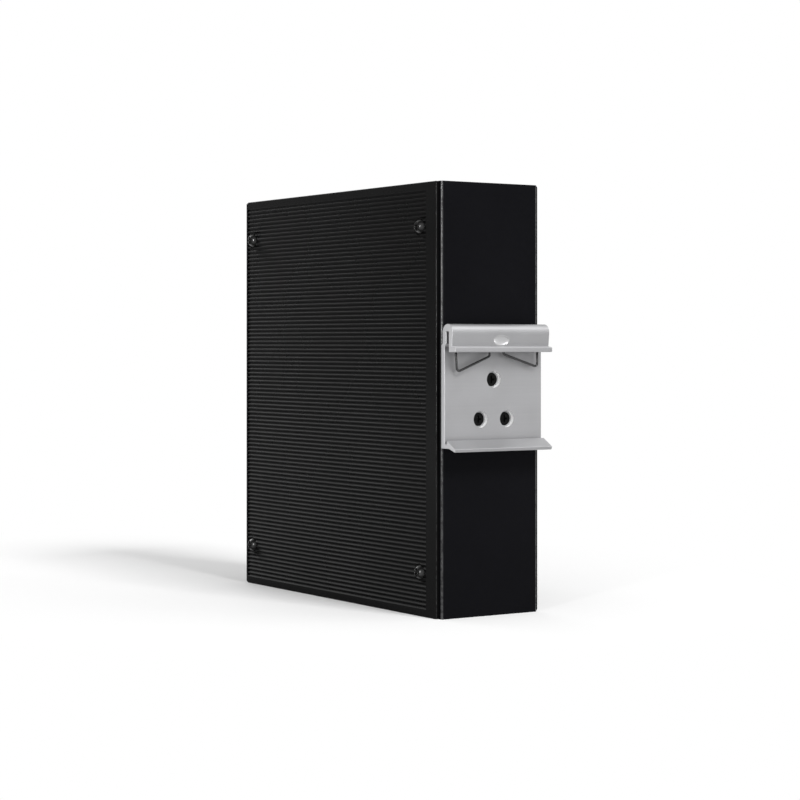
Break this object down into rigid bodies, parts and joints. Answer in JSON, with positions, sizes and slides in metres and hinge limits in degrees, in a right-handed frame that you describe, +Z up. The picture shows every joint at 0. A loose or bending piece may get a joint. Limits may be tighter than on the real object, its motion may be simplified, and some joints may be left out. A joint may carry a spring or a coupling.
{
  "type": "DIN-rail ethernet switch",
  "caption": "Slim upright ethernet switch in a black folded steel housing with finned side covers and an aluminium clip for a top-hat rail on its rear wall.",
  "frame": {"origin": "middle of the housing's bottom face, between the two side covers and between the front and rear planes", "axes": "+X across the width, towards the first finned cover; +Y out of the rear wall, at the rail; +Z up, with the sockets on the front at -Y"},
  "size_m": [0.045, 0.1433, 0.146],
  "materials": {
    "black_steel": "fine black powder coat, satin",
    "black_fins": "matt black coat on fine horizontal fins",
    "black_screw": "black zinc, semi gloss",
    "clip_aluminium": "extruded, matt, natural grey",
    "spring_steel": "bright drawn wire",
    "zinc_steel": "zinc plated",
    "board_laminate": "solder mask, semi gloss",
    "jack_plastic": "moulded, black",
    "plated_shield": "nickel plated sheet",
    "contact_gold": "gold plated",
    "inlet_plastic": "moulded, green",
    "tinned_pin": "tinned",
    "light_lens": "tinted clear lens, unlit",
    "holder_plastic": "moulded, black",
    "chip_plastic": "moulded epoxy",
    "sink_aluminium": "black anodised",
    "capacitor_sleeve": "shrunk sleeve",
    "ferrite": "sintered ferrite"
  },
  "bodies": {
    "root": {"chassis": "black_steel", "front_panel": "black_steel", "side_cover_right": "black_fins", "side_cover_left": "black_fins", "cover_screws_right": "black_screw", "cover_screws_left": "black_screw", "din_clip": "clip_aluminium", "clip_spring": "spring_steel", "clip_screws": "black_screw", "clip_nuts": "zinc_steel", "main_board": "board_laminate", "board_standoffs": "zinc_steel", "board_screws": "zinc_steel", "jack_housing": "jack_plastic", "jack_shield": "plated_shield", "jack_contacts": "contact_gold", "power_inlet": "inlet_plastic", "power_pins": "tinned_pin", "status_lights": "light_lens", "light_holder": "holder_plastic", "switch_chip": "chip_plastic", "heat_sink": "sink_aluminium", "line_transformers": "chip_plastic", "power_capacitors": "capacitor_sleeve", "power_inductor": "ferrite", "earth_screw": "zinc_steel", "earth_washer": "zinc_steel", "earth_nut": "zinc_steel"}
  },
  "joints": []
}
